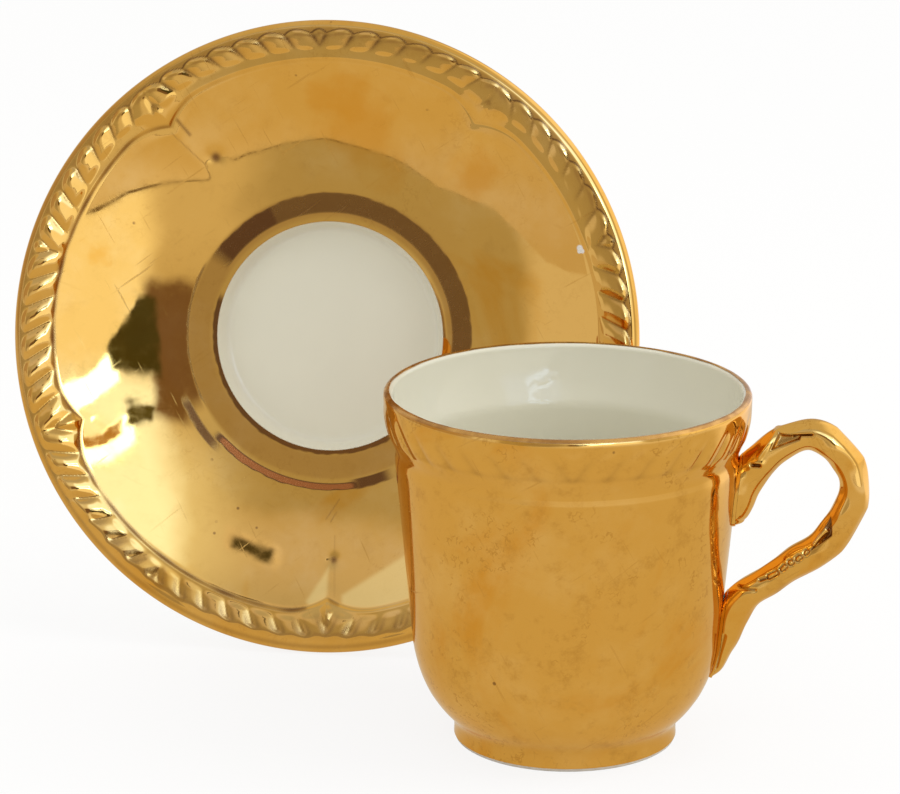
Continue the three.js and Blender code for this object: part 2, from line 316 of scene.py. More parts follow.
# What the gold shows of the room: left, right, low, high, rise, soft edge and light of each panel
PANELS = (
    (-45, -3, -18, 33, 0, 3, (0.533, 0.54, 0.562)),
    (-62, -44, -12, 20, 0, 3, (0.829, 0.888, 1.18)),
    (-130, -64, -15, 40, 0, 6, (0.548, 0.474, 0.459)),
    (-28, -5, -2, 20, 0, 6, (0.444, 0.422, 0.459)),
    (-8, 45, -20, 3, 0, 6, (0.799, 0.829, 0.962)),
    (-48, 2, 34, 60, 0, 4, (0.74, 0.784, 1.11)),
    (-45, 30, 45, 62, 0, 6, (0.592, 0.666, 0.962)),
    (70, 155, 0, 60, 0, 12, (1.26, 1.29, 1.41)),
    (-4, 45, 21, 46, 0, 9, (1.04, 1.26, 1.92)),
    (5.5, 45, -20, 16, 0, 3.5, (1.27, 1.44, 1.92)),
    (4, 45, 15.5, 42, 0, 3.5, (1.5, 2.15, 4.6)),
    (9.5, 28, 19.8, 24.6, 0.38, 0.4, (5.0, 7.5, 15.0)),
    (12, 19.5, 20.9, 22.9, 0.34, 0.4, (0.62, 0.44, 0.26)),
    (11.5, 28, 12.8, 17.0, 0.42, 0.3, (5.0, 7.5, 15.0)),
    (-1.5, 6, 3.5, 21, 0, 1.0, (0.222, 0.163, 0.163)),
    (4.2, 13, 5.5, 15.6, 0, 0.6, (0.08, 0.085, 0.05)),
    (7.5, 14, -8, 5.5, 1.2, 0.4, (1.27, 1.44, 1.92)),
    (5.8, 11.2, 19.6, 22.2, 0, 0.4, (0.12, 0.13, 0.08)),
    (-13.2, -4.8, 38.0, 41.2, -0.25, 0.8, (0.92, 0.98, 1.4)),
    (-12.0, -5.8, 38.6, 40.6, -0.25, 0.6, (0.09, 0.09, 0.07)),
)
# Paper under the pair, in metres: reach, points of its front, and the dark edge's width at each
PAPER_REACH = 4.0
PAPER_FRONT = (
    (-1.1, -1.02), (-0.33, -0.39), (-0.118, -0.28), (-0.03, -0.376),
    (0.026, -0.433), (0.106, -0.57), (0.4, -0.75),
)
PAPER_EDGE = (0.0, 0.0, 0.003, 0.01, 0.02, 0.03, 0.03)
PAPER_EDGE_HEIGHT = 0.0005
PAPER = (0.93, 0.92, 0.90)
EDGE_CARD = (0.16, 0.11, 0.06)
# Light of the paper in the gold: near the pair, and farther off to the left, ahead and to the right
PAPER_NEAR = (0.705, 0.65, 0.54)
PAPER_LEFT = (0.68, 0.66, 0.74)
PAPER_FAR = (0.88, 0.92, 1.2)
PAPER_RIGHT = (1.25, 1.25, 1.45)

# Lamp that throws the shadow, in metres and watts
KEY_PLACE = (0.55, -0.1, 0.7)
KEY_TARGET = (0, 0, 0.05)
KEY_SIZE = 0.45
KEY_POWER = 2.0

# View, measured from the cup's axis
CAMERA_TARGET = (-19.9, 0.0, 60.5)
CAMERA_PITCH = 15.99
CAMERA_DISTANCE = 678.0
CAMERA_LENS = 160.2
SENSOR_WIDTH = 36.0

foot_low, foot_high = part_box("cup_foot_ring")
cup_axis = (foot_low + foot_high) / 2
CUP_PLACE = Matrix.Translation((cup_axis.x, cup_axis.y, 0.0))
HANDLE_PLACE = CUP_PLACE @ Matrix.Rotation(math.radians(HANDLE_TURN), 4, "Z")


def saucer_place():
    """Where the flat saucer goes, from the well's mount in the record."""
    mount = next(m for m in frame["record"]["mounts"] if m["name"] == "saucer_well")
    facing = Vector(mount["axis"]).normalized()
    across = Vector((0, 0, 1)).cross(facing).normalized()
    upward = facing.cross(across)
    origin = Vector(mount["pos_m"]) - facing * WELL_HEIGHT * MM
    turn = Matrix((across, upward, facing)).transposed().to_4x4()
    return Matrix.Translation(origin) @ turn


# Curves and sections

def smoothstep(low, high, x):
    t = np.clip((x - low) / (high - low), 0, 1)
    return t * t * (3 - 2 * t)


def bell(x):
    return np.exp(-x * x)


def bezier(start, control, end, count):
    t = np.linspace(0, 1, count)[:, None]
    a, b, c = (np.array(p, float) for p in (start, control, end))
    return (1 - t) ** 2 * a + 2 * t * (1 - t) * b + t * t * c


def arc(centre, radius, start, end, count):
    angle = np.radians(np.linspace(start, end, count))
    return np.column_stack([centre[0] + radius * np.cos(angle), centre[1] + radius * np.sin(angle)])


def lengths(points):
    steps = np.linalg.norm(np.diff(points[:, :2], axis=0), axis=1)
    return np.concatenate([[0], np.cumsum(steps)])


def respace(points, step):
    """The same line with points about one step apart."""
    points = np.asarray(points, float)
    along = lengths(points)
    count = max(2, int(round(along[-1] / step)) + 1)
    places = np.linspace(0, along[-1], count)
    return np.column_stack([np.interp(places, along, column) for column in points.T])


def soften(points, width, step=0.1):
    """The same line with its corners rounded over about one width. Its ends stay."""
    dense = respace(points, step)
    reach = int(math.ceil(3 * width / step))
    kernel = bell(np.arange(-reach, reach + 1) * step / width)
    kernel /= kernel.sum()
    first, last = dense[0], dense[-1]
    mirrored = np.vstack([2 * first - dense[reach:0:-1], dense, 2 * last - dense[-2:-reach - 2:-1]])
    return np.column_stack([np.convolve(column, kernel, "valid") for column in mirrored.T])


def curve_through(stations, step):
    """A smooth line through rows of numbers, the first two of which are its place."""
    rows = np.asarray(stations, float)
    spans = np.linalg.norm(np.diff(rows[:, :2], axis=0), axis=1)
    rates = np.diff(rows, axis=0) / spans[:, None]
    tangents = np.empty_like(rows)
    tangents[0], tangents[-1] = rates[0], rates[-1]
    before, after = spans[:-1, None], spans[1:, None]
    tangents[1:-1] = (rates[:-1] * after + rates[1:] * before) / (before + after)
    t = np.linspace(0, 1, 40, endpoint=False)[:, None]
    pieces = []
    for k, span in enumerate(spans):
        pieces.append(
            (2 * t**3 - 3 * t**2 + 1) * rows[k]
            + (t**3 - 2 * t**2 + t) * span * tangents[k]
            + (3 * t**2 - 2 * t**3) * rows[k + 1]
            + (t**3 - t**2) * span * tangents[k + 1]
        )
    return respace(np.vstack(pieces + [rows[-1:]]), step)


# Meshes

def linked(name, data):
    """A new object in the scene."""
    item = bpy.data.objects.new(name, data)
    bpy.context.scene.collection.objects.link(item)
    return item


def grid_faces(rows, columns, loop):
    r = np.arange(rows if loop else rows - 1)[:, None]
    c = np.arange(columns)[None, :]
    turn = (c + 1) % columns
    above = (r + 1) % rows
    corners = [r * columns + c, r * columns + turn, above * columns + turn, above * columns + c]
    return np.stack(np.broadcast_arrays(*corners), axis=-1).reshape(-1, 4).tolist()


def make_mesh(name, points, faces, place):
    """A smooth mesh in metres. Its edges stay crisp above the sharp angle. The points' fourth column
    is their tone: up to 1 for painted shade and painted dark reflections, 2 for a painted pinkish
    reflection, below 0 for a painted highlight."""
    mesh = bpy.data.meshes.new(name)
    mesh.from_pydata((points[:, :3] * MM).tolist(), [], faces)
    tone = mesh.attributes.new("tone", "FLOAT", "POINT")
    tone.data.foreach_set("value", points[:, 3].astype(np.float32))
    mesh.transform(place)
    mesh.shade_smooth()
    mesh.set_sharp_from_angle(angle=math.radians(SHARP))
    return linked(name, mesh)


def ring_body(name, rows, loop, place):
    """A closed body over rows of rings. Rows that don't loop are capped at both ends."""
    count, columns = rows.shape[:2]
    points = rows.reshape(-1, 4)
    faces = grid_faces(count, columns, loop)
    if not loop:
        last = (count - 1) * columns
        around = [(c, (c + 1) % columns) for c in range(columns)]
        poles = [rows[0].mean(0), rows[-1].mean(0)]
        faces += [[b, a, len(points)] for a, b in around]
        faces += [[last + a, last + b, len(points) + 1] for a, b in around]
        points = np.vstack([points, poles])
    return make_mesh(name, points, faces, place)


def turned(profile, sides, shape=None):
    """Rows of rings about Z. A shape gives each point's own radius, height and tone."""
    profile = np.asarray(profile, float)
    angle = np.linspace(0, 2 * np.pi, sides, endpoint=False)[None, :]
    radius = np.repeat(profile[:, :1], sides, axis=1)
    height = np.repeat(profile[:, 1:2], sides, axis=1)
    tone = np.zeros_like(radius)
    if shape:
        radius, height, tone = shape(radius, height, angle)
    return np.stack([radius * np.cos(angle), radius * np.sin(angle), height, tone], axis=-1)


def weld(mesh, gap):
    """Joins points closer than a gap and takes out slivers that a cut leaves."""
    body = bmesh.new()
    body.from_mesh(mesh)
    bmesh.ops.triangulate(body, faces=body.faces[:])
    bmesh.ops.remove_doubles(body, verts=body.verts[:], dist=gap)
    bmesh.ops.dissolve_degenerate(body, edges=body.edges[:], dist=gap)
    bmesh.ops.triangulate(body, faces=body.faces[:])
    alike = {}
    for face in body.faces:
        alike.setdefault(frozenset(face.verts), []).append(face)
    doubled = [face for faces in alike.values() if len(faces) > 1 for face in faces]
    bmesh.ops.delete(body, geom=doubled, context="FACES")
    body.to_mesh(mesh)
    body.free()


def cut(piece, cutter, operation, sharp=SHARP):
    """Cuts or trims one piece by another, which is used up."""
    modifier = piece.modifiers.new(operation, "BOOLEAN")
    modifier.operation = operation
    modifier.solver = "EXACT"
    modifier.object = cutter
    bpy.context.view_layer.update()
    depsgraph = bpy.context.evaluated_depsgraph_get()
    result = bpy.data.meshes.new_from_object(piece.evaluated_get(depsgraph))
    piece.modifiers.clear()
    weld(result, CUT_GAP * MM)
    result.set_sharp_from_angle(angle=math.radians(sharp))
    plain = piece.data
    piece.data = result
    bpy.data.meshes.remove(plain)
    bpy.data.objects.remove(cutter)


def dress(piece, body, node, material):
    """Puts a finished piece on its body, in the place of its plain solid."""
    piece.data.materials.clear()
    piece.data.materials.append(material)
    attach(piece, body)
    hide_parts(node)


# Materials

class Tree:
    """Short ways to add shader nodes."""

    def __init__(self, owner):
        owner.use_nodes = True
        self.nodes = owner.node_tree.nodes
        self.links = owner.node_tree.links
        self.nodes.clear()

    def set(self, socket, value):
        if isinstance(value, bpy.types.NodeSocket):
            self.links.new(value, socket)
        elif socket.type == "RGBA" and len(value) == 3:
            socket.default_value = (*value, 1)
        else:
            socket.default_value = value

    def add(self, kind, inputs=(), **settings):
        node = self.nodes.new(kind)
        for name, value in settings.items():
            setattr(node, name, value)
        for name, value in dict(inputs).items():
            self.set(node.inputs[name], value)
        return node

    def maths(self, operation, first, second=0.0):
        node = self.add("ShaderNodeMath", operation=operation)
        self.set(node.inputs[0], first)
        self.set(node.inputs[1], second)
        return node.outputs[0]

    def times(self, first, second):
        return self.maths("MULTIPLY", first, second)

    def spread(self, value, low, high, start=0.0, end=1.0):
        """Low to high becomes start to end, eased at both ends."""
        inputs = {"Value": value, "From Min": low, "From Max": high, "To Min": start, "To Max": end}
        return self.add("ShaderNodeMapRange", inputs, interpolation_type="SMOOTHSTEP").outputs[0]

    def mix(self, factor, first, second):
        node = self.add("ShaderNodeMix", data_type="RGBA")
        self.set(node.inputs[0], factor)
        self.set(node.inputs[6], first)
        self.set(node.inputs[7], second)
        return node.outputs[2]

    def noise(self, vector, scale, detail=3.0, roughness=0.55, distortion=0.0):
        inputs = {
            "Vector": vector, "Scale": scale, "Detail": detail,
            "Roughness": roughness, "Distortion": distortion,
        }
        return self.add("ShaderNodeTexNoise", inputs).outputs["Fac"]

    def place(self):
        return self.add("ShaderNodeTexCoord").outputs["Object"]

    def bump(self, height, strength, distance):
        inputs = {"Height": height, "Strength": strength, "Distance": distance}
        return self.add("ShaderNodeBump", inputs).outputs[0]

    def stretched(self, vector, turn, scale):
        """The vector turned and then scaled along the turned axes."""
        rotation = tuple(math.radians(t) for t in turn)
        inputs = {"Vector": vector, "Rotation": rotation, "Scale": tuple(1 / s for s in scale)}
        return self.add("ShaderNodeMapping", inputs, vector_type="TEXTURE").outputs[0]

    def between(self, value, low, high, edge):
        """1 between low and high and 0 outside them."""
        rise = self.spread(value, low - edge, low + edge)
        fall = self.spread(value, high + edge, high - edge)
        return self.times(rise, fall)

    def near(self, vector, centre, radius, edge):
        """1 inside a ball and 0 outside it."""
        node = self.add("ShaderNodeVectorMath", {0: vector, 1: centre}, operation="DISTANCE")
        return self.spread(node.outputs["Value"], radius + edge, radius - edge)

    def surface(self, **inputs):
        named = {name.replace("_", " "): value for name, value in inputs.items()}
        bsdf = self.add("ShaderNodeBsdfPrincipled", named)
        self.finish(bsdf.outputs[0])

    def finish(self, shader):
        self.add("ShaderNodeOutputMaterial", {"Surface": shader})


def material_tree(name):
    material = bpy.data.materials.new(name)
    return material, Tree(material)


def ragged(t, place):
    """The place moved a little here and there, so that outlines in it are ragged."""
    ripple = t.add("ShaderNodeTexNoise", {"Vector": place, "Scale": 130.0, "Detail": 4.0})
    inputs = {0: ripple.outputs["Color"], 1: (0.5, 0.5, 0.5)}
    level = t.add("ShaderNodeVectorMath", inputs, operation="SUBTRACT")
    inputs = {0: level.outputs[0], 1: (0.012, 0.012, 0.012), 2: place}
    return t.add("ShaderNodeVectorMath", inputs, operation="MULTIPLY_ADD").outputs[0]


def scuffs(t, place):
    """Short curled marks, in patches."""
    patch = t.spread(t.noise(place, 75), 0.52, 0.62)
    curl = t.maths("ABSOLUTE", t.maths("SUBTRACT", t.noise(place, 620, detail=2, roughness=0.6), 0.5))
    broken = t.spread(t.noise(place, 510, detail=2), 0.48, 0.58)
    return t.times(t.times(t.spread(curl, 0.045, 0.012), broken), patch)


def scratches(t, place):
    """Fine straight scratches that slant two ways."""
    marks = 0.0
    for tilt, size in ((-35, (80, 80, 1500)), (62, (80, 80, 1900))):
        streaks = t.noise(t.stretched(place, (0, tilt, 0), size), 1, detail=2, roughness=0.5)
        marks = t.maths("MAXIMUM", marks, t.spread(streaks, 0.68, 0.76))
    return marks


def specks(t, place, scale, size, patches, share):
    """Dots with an outer and an inner size, in the few patches that pass a share."""
    distance = t.add("ShaderNodeTexVoronoi", {"Vector": place, "Scale": scale}).outputs["Distance"]
    rare = t.spread(t.noise(place, patches, detail=1), share, 0.68)
    return t.times(t.spread(distance, *size), rare)


def gilt(name, stain_share, mottle, smooth, stains=(), wear=()):
    """Burnished gold with stains, mottling, rubbed streaks and bare spots, and painted shade, painted
    reflections and a painted highlight from the points' tone.
    """
    material, t = material_tree(name)
    place = t.place()
    tone = t.add("ShaderNodeAttribute", attribute_name="tone").outputs["Fac"]
    cloud = t.noise(place, 26, detail=5, distortion=0.9)
    stained = t.spread(cloud, 0.60 - stain_share, 0.76 - stain_share)
    colour = t.mix(stained, GOLD, STAIN)
    pale = t.noise(place, 48, detail=5, roughness=0.62)
    colour = t.mix(t.spread(pale, 0.46, 0.72, 0, 0.75), colour, PALE_GOLD)
    fleck = t.noise(place, 240, detail=6, roughness=0.72)
    colour = t.mix(t.spread(fleck, 0.50, 0.76, 0, mottle), colour, DULL_GOLD)
    rub = t.noise(t.stretched(place, (0, 24, 0), (90, 90, 800)), 1, roughness=0.7)
    colour = t.mix(t.spread(rub, 0.62, 0.76, 0, 0.16), colour, DULL_GOLD)
    colour = t.mix(t.times(scuffs(t, place), mottle), colour, DULL_GOLD)
    scratched = scratches(t, place)
    colour = t.mix(t.times(scratched, 0.3), colour, DULL_GOLD)
    dots = specks(t, place, 300.0, (0.13, 0.06), 120, 0.63)
    colour = t.mix(t.times(dots, 0.7), colour, GRIME_AND_SHADE)
    torn = ragged(t, place)
    for centre, radius in stains:
        blot = t.times(t.near(torn, centre, radius, radius * 0.45), 0.6)
        colour = t.mix(blot, colour, STAIN)
    # Painted shade and painted dark reflections up to tone 1, a painted pinkish reflection at 2, a
    # painted highlight below 0
    colour = t.mix(t.spread(tone, 0, 1, 0, 0.92), colour, GRIME_AND_SHADE)
    colour = t.mix(t.spread(tone, 1.1, 1.8), colour, PINK_REFLECTION)
    colour = t.mix(t.spread(tone, 0, -1), colour, HIGHLIGHT_GOLD)
    fine = t.noise(place, 420, detail=4, roughness=0.65)
    rough = t.spread(fine, 0.35, 0.75, smooth, smooth + 0.05)
    rough = t.maths("ADD", rough, t.spread(tone, 0.05, 0.6, 0, 0.22))
    rough = t.maths("ADD", rough, t.times(scratched, 0.16))
    metal = 1.0
    if wear:
        bare = 0.0
        for centre, radius in wear:
            bare = t.maths("MAXIMUM", bare, t.near(place, centre, radius, radius * 0.25))
        colour = t.mix(bare, colour, BARE_WARE)
        metal = t.maths("SUBTRACT", 1.0, bare)
    t.surface(
        Base_Color=colour,
        Metallic=metal,
        Roughness=rough,
        Specular_Tint=GRAZING_GOLD,
        Normal=t.bump(t.noise(place, 70, detail=2), 0.05, 0.0006),
    )
    return material


def lip_gilt():
    """Thin reddish gold on the lip, rubbed through to the glaze in places."""
    material, t = material_tree("lip_gilt")
    place = t.place()
    tone = t.mix(t.spread(t.noise(place, 160, detail=4), 0.35, 0.7), LIP_RED, LIP_GOLD)
    bare = t.spread(t.noise(place, 420, detail=5, roughness=0.7), 0.67, 0.74, 0, 0.7)
    colour = t.mix(bare, tone, LIP_GLAZE)
    t.surface(
        Base_Color=colour,
        Metallic=t.maths("SUBTRACT", 1.0, bare),
        Roughness=t.spread(t.noise(place, 500), 0.3, 0.7, 0.18, 0.34),
    )
    return material


def porcelain():
    """White glaze, a little uneven, with a few pin holes."""
    material, t = material_tree("glaze")
    place = t.place()
    dimmer = tuple(c * 0.965 for c in GLAZE)
    shade = t.mix(t.spread(t.noise(place, 30, detail=4), 0.35, 0.7), GLAZE, dimmer)
    dots = specks(t, place, 210.0, (0.09, 0.05), 60, 0.64)
    shade = t.mix(t.times(dots, 0.5), shade, PIN_HOLE)
    t.surface(
        Base_Color=shade,
        Roughness=t.spread(t.noise(place, 260), 0.3, 0.7, 0.04, 0.07),
        Specular_IOR_Level=0.28,
        Specular_Tint=GLAZE_GLOSS,
        Normal=t.bump(t.noise(place, 90, detail=2), 0.05, 0.0005),
    )
    return material


def bisque():
    """Unglazed ware of the foot ring."""
    material, t = material_tree("bisque")
    place = t.place()
    grain = t.noise(place, 900, detail=4)
    shade = t.mix(t.spread(grain, 0.3, 0.7), BISQUE_DARK, BISQUE_PALE)
    t.surface(Base_Color=shade, Roughness=0.55, Normal=t.bump(grain, 0.25, 0.0002))
    return material


# Cup

def wall_line(z):
    """Radius of the straight wall, carried on above and below it."""
    taper = (SHOULDER_RADIUS - BELLY_RADIUS) / (SHOULDER_HEIGHT - BELLY_HEIGHT)
    return BELLY_RADIUS + taper * (z - BELLY_HEIGHT)


def wall_outline():
    """Outside of the bowl, from the waist up to the lip."""
    belly = bezier(
        (WAIST_RADIUS, FOOT_HEIGHT), (HAUNCH_RADIUS, HAUNCH_HEIGHT), (BELLY_RADIUS, BELLY_HEIGHT), 40
    )
    lip = (MOUTH_RADIUS, LIP_HEIGHT)
    flare = bezier((NECK_RADIUS, NECK_HEIGHT), (MOUTH_RADIUS, FLARE_HEIGHT), lip, 40)
    return soften(np.vstack([belly, [(SHOULDER_RADIUS, SHOULDER_HEIGHT)], flare]), 0.5)


def inside_outline():
    """Inside of the bowl, from the lip down to the middle of its floor."""
    neck = (NECK_RADIUS - CUP_WALL, NECK_HEIGHT)
    lip = (MOUTH_RADIUS - 2 * LIP_RADIUS, LIP_HEIGHT)
    throat = bezier(lip, (MOUTH_RADIUS - CUP_WALL, FLARE_HEIGHT), neck, 30)
    side = (BELLY_RADIUS - CUP_WALL, BELLY_HEIGHT)
    corner = (wall_line(CUP_FLOOR_HEIGHT) - CUP_WALL, CUP_FLOOR_HEIGHT)
    floor = bezier(side, corner, (CUP_FLOOR_RADIUS, CUP_FLOOR_HEIGHT), 40)
    return soften(np.vstack([throat, floor, [(POLE, CUP_FLOOR_HEIGHT)]]), 0.6)


def bowl():
    outside = wall_outline() - (BOWL_INSET, 0)
    bottom = FOOT_HEIGHT + FOOT_GAP
    lip = arc((MOUTH_RADIUS - LIP_RADIUS, LIP_HEIGHT), LIP_RADIUS, 20, 180, 14)
    rows = np.vstack([
        [(POLE, bottom), (WAIST_RADIUS - 1.2, bottom)],
        respace(outside[outside[:, 1] > FOOT_HEIGHT + 0.3], 1.2),
        lip,
        respace(inside_outline(), 0.9)[1:],
    ])
    return ring_body("bowl_porcelain", turned(rows, PLAIN_SIDES), False, CUP_PLACE)


def foot_ring():
    inner = FOOT_RADIUS - FOOT_RING_WIDTH
    section = [
        (inner, FOOT_HEIGHT), (inner, 0.5), (inner + 0.5, 0.0), (FOOT_RADIUS - 0.3, 0.0),
        (FOOT_RADIUS + 0.03, 0.3), (FOOT_RADIUS - 0.02, 0.8), (FOOT_RADIUS - 0.5, FOOT_HEIGHT - 0.2),
        (FOOT_RADIUS - 1.0, FOOT_HEIGHT),
    ]
    rows = respace(soften(section, 0.12), 0.3)
    return ring_body("foot_ring_ware", turned(rows, PLAIN_SIDES), True, CUP_PLACE)


def cup_skin_outline():
    """Gold outside of the cup, from just above the foot's bare edge up to the lip."""
    waist = (WAIST_RADIUS + 0.1, FOOT_HEIGHT - 0.3)
    foot = bezier((FOOT_RADIUS + 0.1, CUP_SKIN_START), (FOOT_RADIUS - 0.1, 2.2), waist, 12)
    wall = wall_outline() + (CUP_SKIN, 0)
    lip = arc((MOUTH_RADIUS - LIP_RADIUS, LIP_HEIGHT), LIP_RADIUS + CUP_SKIN, 6, LIP_LINE_START, 8)
    whole = np.vstack([foot, wall[wall[:, 1] > FOOT_HEIGHT + 0.25], lip])
    low, high = soften(whole, 1.5), soften(whole, 0.12)
    return np.vstack([low[low[:, 1] < HAUNCH_HEIGHT], high[high[:, 1] >= HAUNCH_HEIGHT]])


def cup_flutes(radius, height, angle):
    """Slanting flutes under the lip, mirrored at the front and the back of the cup."""
    doubled = 2 * (angle + np.pi / 2)
    front = np.abs(np.arctan2(np.sin(doubled), np.cos(doubled))) / 2
    lean = np.radians(CUP_FLUTE_LEAN) * (height - BAND_LOW)
    share = (front - lean) * CUP_FLUTES / (2 * np.pi)
    groove = np.abs(2 * (share - np.floor(share)) - 1)
    band = smoothstep(BAND_LOW - 0.5, BAND_LOW + 0.9, height)
    band = band * smoothstep(BAND_HIGH, BAND_HIGH - 3.4, height)
    # Painted shade in the flutes' grooves and along the band's lower edge, and painted shade at the
    # waist above the foot
    tone = band * (0.24 * groove**2 + 0.16 * bell((height - BAND_LOW - 0.6) / 0.7))
    tone = tone + 0.13 * bell((height - FOOT_HEIGHT - 0.6) / 2.2)
    return radius + band * CUP_FLUTE_RELIEF * (0.65 - groove**2), height, tone


def cup_skin():
    outline = cup_skin_outline()
    low = outline[:, 1] < BAND_LOW - 0.8
    outside = np.vstack([respace(outline[low], 0.8), respace(outline[~low], 0.3)])
    rows = turned(outside, CUP_SIDES, cup_flutes)
    inside = respace(outline - (CUP_SKIN_THICKNESS, 0), 2.0)[::-1]
    inside[:, 1] = np.clip(inside[:, 1], outline[0, 1], outline[-1, 1])
    rows = np.concatenate([rows, turned(inside, CUP_SIDES)])
    return ring_body("cup_gold", rows, True, CUP_PLACE)


def lip_line():
    """Film over the lip. Its inner edge wanders, as a brushed line does."""
    centre = (MOUTH_RADIUS - LIP_RADIUS, LIP_HEIGHT)
    steps = 18
    angle = np.linspace(0, 2 * np.pi, CUP_SIDES, endpoint=False)
    wander = sum(size * np.sin(times * angle + phase) for times, size, phase in LIP_WANDER)
    end = np.radians(LIP_LINE_END + wander)
    start = math.radians(LIP_LINE_START - 4)
    share = np.linspace(0, 1, steps)[:, None]
    around = start + share * (end - start)[None, :]
    rows = []
    for reach, turn in ((LIP_RADIUS + LIP_FILM_OUT, around), (LIP_RADIUS + LIP_FILM_IN, around[::-1])):
        radius = centre[0] + reach * np.cos(turn)
        height = centre[1] + reach * np.sin(turn)
        ring = [radius * np.cos(angle), radius * np.sin(angle), height, 0 * height]
        rows.append(np.stack(ring, axis=-1))
    return ring_body("lip_gold", np.concatenate(rows), True, CUP_PLACE)


# Handle

def handle_line():
    """Middle line of the handle with its half depth and half width."""
    out, up, depth, width = np.array(HANDLE_STATIONS, float).T
    z = HANDLE_TIP + up * (HANDLE_CREST - HANDLE_TIP)
    s = wall_line(z) + out * HANDLE_STANDOFF
    rows = np.column_stack([s, z, depth * HANDLE_DEPTH / 2, width * HANDLE_WIDTH / 2])
    fine = curve_through(rows, 0.1)
    return respace(fine, lengths(fine)[-1] / HANDLE_ROWS)


def off_line(s, z, start, end):
    """Distance to a straight mark."""
    run = np.subtract(end, start)
    share = np.clip(((s - start[0]) * run[0] + (z - start[1]) * run[1]) / (run @ run), 0, 1)
    return np.hypot(s - start[0] - share * run[0], z - start[1] - share * run[1])


def depth_in(s, z, corners):
    """Distance inside the edges of a mark, whose corners go round counterclockwise."""
    depth = np.full(np.shape(s), np.inf)
    for (s0, z0), (s1, z1) in zip(corners, corners[1:] + corners[:1]):
        side = (s1 - s0) * (z - z0) - (z1 - z0) * (s - s0)
        depth = np.minimum(depth, side / math.hypot(s1 - s0, z1 - z0))
    return depth


def six_sided(degrees, rounding):
    """Section of a stem with six soft edges. Its front and back are flat."""
    fine = np.arange(0, 360, 1.0)
    face = (fine + 30) % 60 - 30
    radius = math.cos(math.radians(30)) / np.cos(np.radians(face))
    kernel = bell(np.arange(-30, 31) / rounding)
    kernel /= kernel.sum()
    radius = np.convolve(np.concatenate([radius[-30:], radius, radius[:30]]), kernel, "valid")
    radius /= radius.max()
    return np.interp(degrees % 360, np.append(fine, 360), np.append(radius, radius[0]))


def handle_marks(s, z):
    """Relief and tone of the bud, leaf, beads and joints at places in the plane of the loop. The tone is
    painted shade in hollows, in grooves and round the beads.
    """
    relief, tone = np.zeros(np.shape(s)), np.zeros(np.shape(s))
    for line, height, width in RIDGES:
        relief += height * bell(off_line(s, z, *line) / width)
    for corners, depth, shade in HOLLOWS:
        inside = depth_in(s, z, corners)
        relief -= depth * smoothstep(-0.1, 0.4, inside)
        # Painted shade inside each hollow and along its edge
        tone = np.maximum(tone, shade * smoothstep(-0.1, 0.5, inside))
        tone = np.maximum(tone, 1.3 * shade * bell((inside - 0.05) / 0.14))
    blade = bell(off_line(s, z, *LEAF_BLADE) / 0.3)
    relief += 0.5 * blade
    tone *= 1 - blade
    for start, end, radius in BEADS:
        edge = off_line(s, z, start, end) - radius
        relief += 0.22 * smoothstep(0.1, -0.3, edge) - 0.22 * bell(edge / 0.2)
        # Painted shade round each bead
        tone = np.maximum(tone, 0.75 * bell(edge / 0.13))
    for line, depth, width, shade in GROOVES:
        groove = bell(off_line(s, z, *line) / width)
        relief -= depth * groove
        tone = np.maximum(tone, shade * groove)
    return relief, tone


def handle_flats(line, along, across):
    """Flats between the corners on the outside of the stem, and its unevenness."""
    relief = sum(
        size * np.sin(along / wave + across * twist + phase) for size, wave, twist, phase in HAND_WAVES
    )
    corners = [
        lengths(line)[np.argmin(np.hypot(line[:, 0] - s, line[:, 1] - z))] for s, z in HANDLE_CORNERS
    ]
    for low, high in zip(corners, corners[1:]):
        flat = np.clip((along - low) / (high - low), 0, 1)
        relief -= FLAT_DEPTH * flat * (1 - flat) * np.clip(np.sin(np.radians(across)), 0, 1) ** 2
    return relief


def handle_rows(line, sides, grow=0.0, detail=True):
    """Rings along the handle, about the upright plane of the loop. Across is 90 on the outside
    of the loop, 0 on its two faces and -90 inside it."""
    direction = np.gradient(line[:, :2], axis=0)
    direction /= np.linalg.norm(direction, axis=1)[:, None]
    inward = np.column_stack([direction[:, 1], -direction[:, 0]])
    turn = -np.linspace(0, 360, sides, endpoint=False)[None, :]
    sine, cosine = np.sin(np.radians(turn)), np.cos(np.radians(turn))
    across = np.degrees(np.arctan2(sine, np.abs(cosine)))
    section = six_sided(turn, FACET_ROUNDING) if detail else np.full(turn.shape, 0.95)

    def at(deep):
        return [line[:, k:k + 1] - inward[:, k:k + 1] * deep * sine for k in (0, 1)]

    deep = line[:, 2:3] * section
    relief, tone = np.full(deep.shape, grow), np.zeros(deep.shape)
    if detail:
        on_face = smoothstep(0.1, 0.4, np.abs(cosine))
        marks, tone = handle_marks(*at(deep))
        tone = tone * on_face
        ends = np.minimum(1, line[:, 2:3] / (HANDLE_DEPTH * 0.3))
        relief = (marks * on_face + handle_flats(line, lengths(line)[:, None], across)) * ends
    wide = line[:, 3:4] * section + relief
    s, z = at(deep + relief)
    return np.stack([s, -wide * cosine, z, tone], axis=-1)


def wall_envelope(name, offset):
    """A solid of the cup's outside, grown by an offset."""
    outline = respace(cup_skin_outline() + (offset, 0), 1.0)
    outline = np.vstack([[(POLE, outline[0, 1])], outline, [(POLE, outline[-1, 1])]])
    return ring_body(name, turned(outline, PLAIN_SIDES), False, CUP_PLACE)


def handle():
    piece = ring_body("handle_stem", handle_rows(handle_line(), HANDLE_SIDES), False, HANDLE_PLACE)
    cut(piece, wall_envelope("cutter", SLIP_THICKNESS), "DIFFERENCE", HANDLE_SHARP)
    return piece


